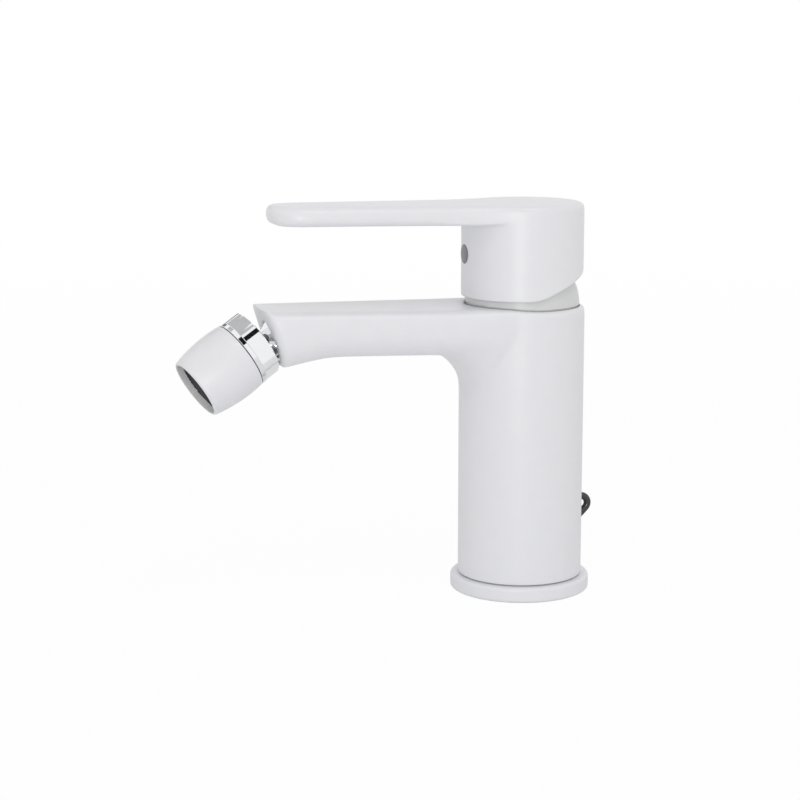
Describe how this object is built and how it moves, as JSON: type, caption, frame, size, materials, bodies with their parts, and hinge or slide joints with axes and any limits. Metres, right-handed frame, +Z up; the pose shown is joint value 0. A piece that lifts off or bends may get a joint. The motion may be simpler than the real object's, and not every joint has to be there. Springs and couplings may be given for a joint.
{
  "type": "bidet mixer",
  "caption": "Single-lever bidet mixer with a round body, level spout, flat lever on a round hub, ceramic cartridge and a nozzle that swivels on a ball.",
  "frame": {"origin": "middle of the body's underside, on the deck", "axes": "+Z up along the body's axis, -Y the way the spout points, +X to the left of a person who faces the mixer from the spout's side"},
  "size_m": [0.0516, 0.1567, 0.1449],
  "materials": {
    "white_paint": "satin white paint",
    "chrome": "polished",
    "dark_chrome": "polished, dark",
    "brass": "turned",
    "steel": "bright",
    "rubber": "matt",
    "cartridge_plastic": "moulded",
    "ceramic": "lapped ceramic",
    "grey_plastic": "moulded"
  },
  "bodies": {
    "mixer": {"body_casting": "white_paint", "base_ring": "white_paint", "base_seal": "rubber", "chain_eyelet": "dark_chrome", "cartridge_base": "cartridge_plastic", "inlet_seals": "rubber", "disc_seals": "rubber", "fixed_disc": "ceramic", "cartridge_housing": "cartridge_plastic", "housing_seal": "rubber", "cartridge_nut": "brass", "cap_seal": "rubber", "dome_cap": "white_paint", "ball_stub": "chrome", "stub_washer": "rubber"},
    "turret": {"spindle_turret": "cartridge_plastic", "pivot_pin": "steel"},
    "lever": {"lever_handle": "white_paint", "set_screw": "steel", "index_plug": "grey_plastic", "lever_spindle": "steel"},
    "disc": {"moving_disc": "ceramic", "disc_carrier": "cartridge_plastic"},
    "nozzle_ring": {"friction_ring": "grey_plastic"},
    "nozzle_cup": {"cup_seal": "rubber"},
    "nozzle": {"swivel_nut": "chrome", "nozzle_sleeve": "white_paint", "aerator_seal": "rubber", "aerator_body": "grey_plastic", "aerator_screen": "steel"}
  },
  "joints": [
    {"name": "temperature_turn", "type": "hinge", "parent": "mixer", "child": "turret", "pos_m": [0, 0, 0.1063], "axis": [0, 0, 1], "range_deg": [-50, 50]},
    {"name": "lever_lift", "type": "hinge", "parent": "turret", "child": "lever", "pos_m": [0, 0, 0.1063], "axis": [-1, 0, 0], "range_deg": [0, 24]},
    {"name": "disc_slide", "type": "slide", "parent": "turret", "child": "disc", "axis": [0, -1, 0], "range_m": [0, 0.0038]},
    {"name": "nozzle_pitch", "type": "hinge", "parent": "mixer", "child": "nozzle_ring", "pos_m": [0, -0.10389, 0.09331], "axis": [-1, 0, 0], "range_deg": [-0.5, 30]},
    {"name": "nozzle_yaw", "type": "hinge", "parent": "nozzle_ring", "child": "nozzle_cup", "pos_m": [0, -0.10389, 0.09331], "axis": [0, -0.5446, 0.8387], "range_deg": [-16.5, 0.5]},
    {"name": "nozzle_spin", "type": "hinge", "parent": "nozzle_cup", "child": "nozzle", "pos_m": [0, -0.10389, 0.09331], "axis": [0.1392, -0.8305, -0.5393], "continuous": true}
  ],
  "couplings": [
    {"joint": "disc_slide", "follows": "lever_lift", "m_per_rad": 0.008933}
  ]
}
